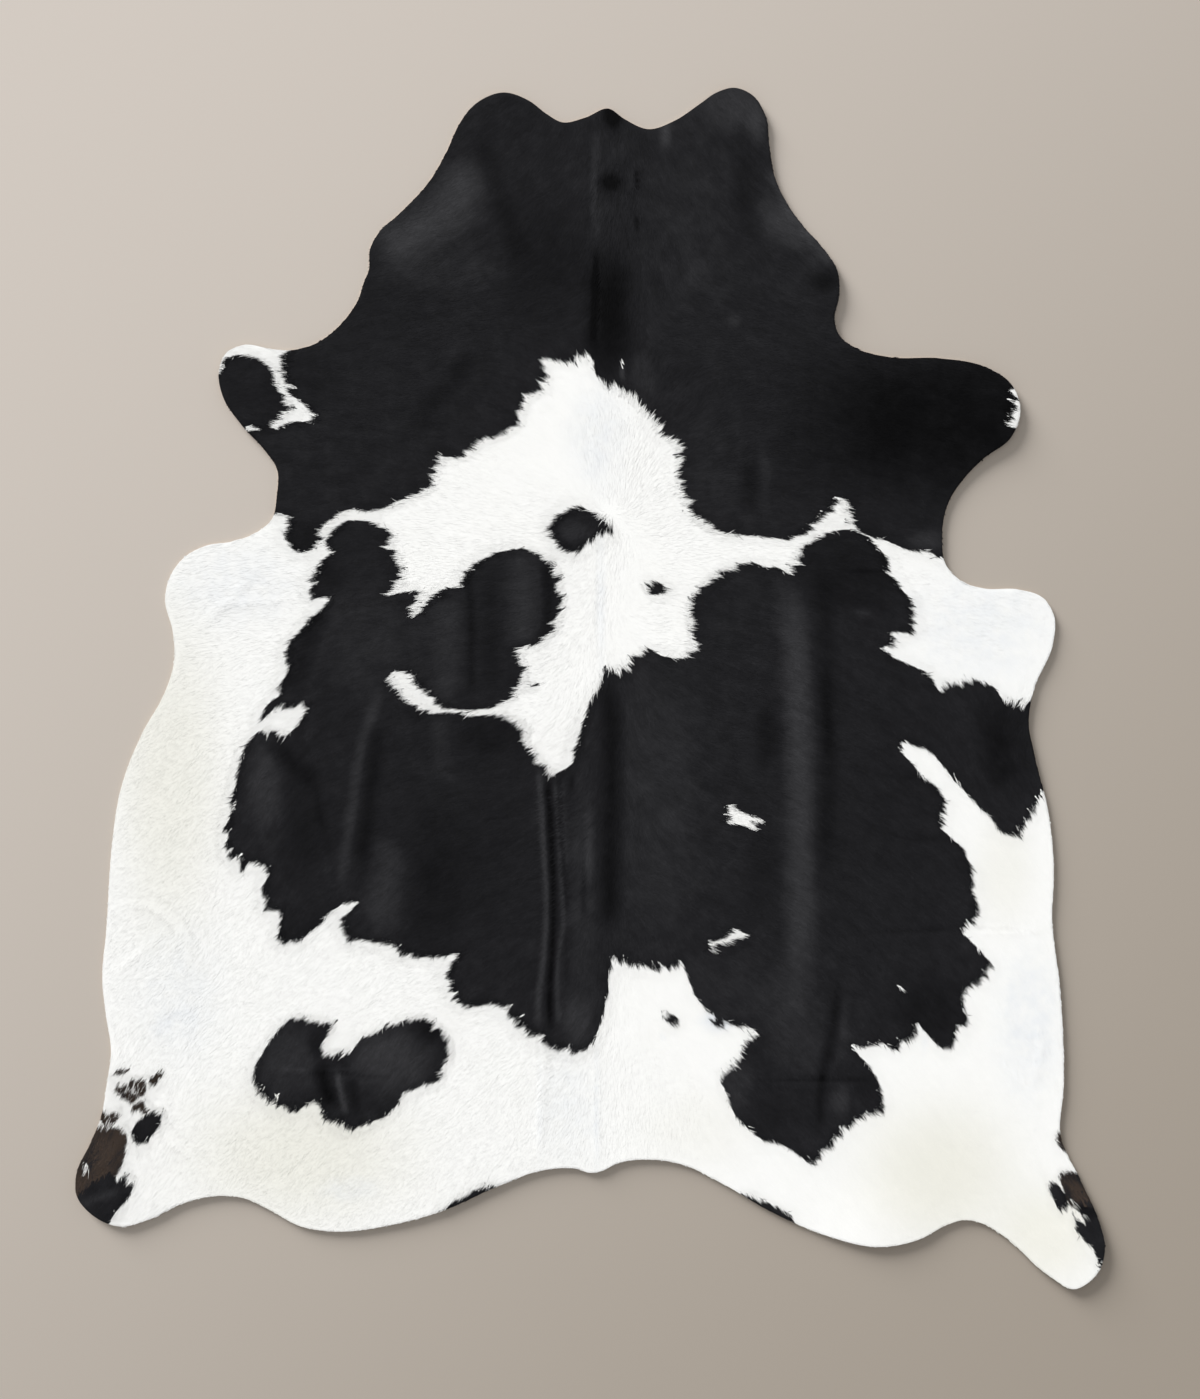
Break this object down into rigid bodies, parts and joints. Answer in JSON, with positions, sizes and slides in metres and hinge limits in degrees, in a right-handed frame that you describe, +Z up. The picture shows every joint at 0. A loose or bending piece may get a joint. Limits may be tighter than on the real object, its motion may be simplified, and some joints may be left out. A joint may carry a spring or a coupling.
{
  "type": "cowhide rug",
  "caption": "Whole cowhide floor rug with its natural cut outline, lying hair side up, black patches on white.",
  "frame": {"origin": "on the floor, under the middle of the hide's bounding box", "axes": "+Y along the spine towards the head end, +X to the right with the hair side up, +Z up from the floor"},
  "size_m": [1.804, 2.106, 0.0115],
  "materials": {
    "leather": "matte suede",
    "white_hair": "short smooth hair, soft sheen",
    "black_hair": "short smooth hair, soft sheen",
    "brown_hair": "short smooth hair, soft sheen"
  },
  "bodies": {
    "root": {"hide": "leather"}
  },
  "joints": []
}
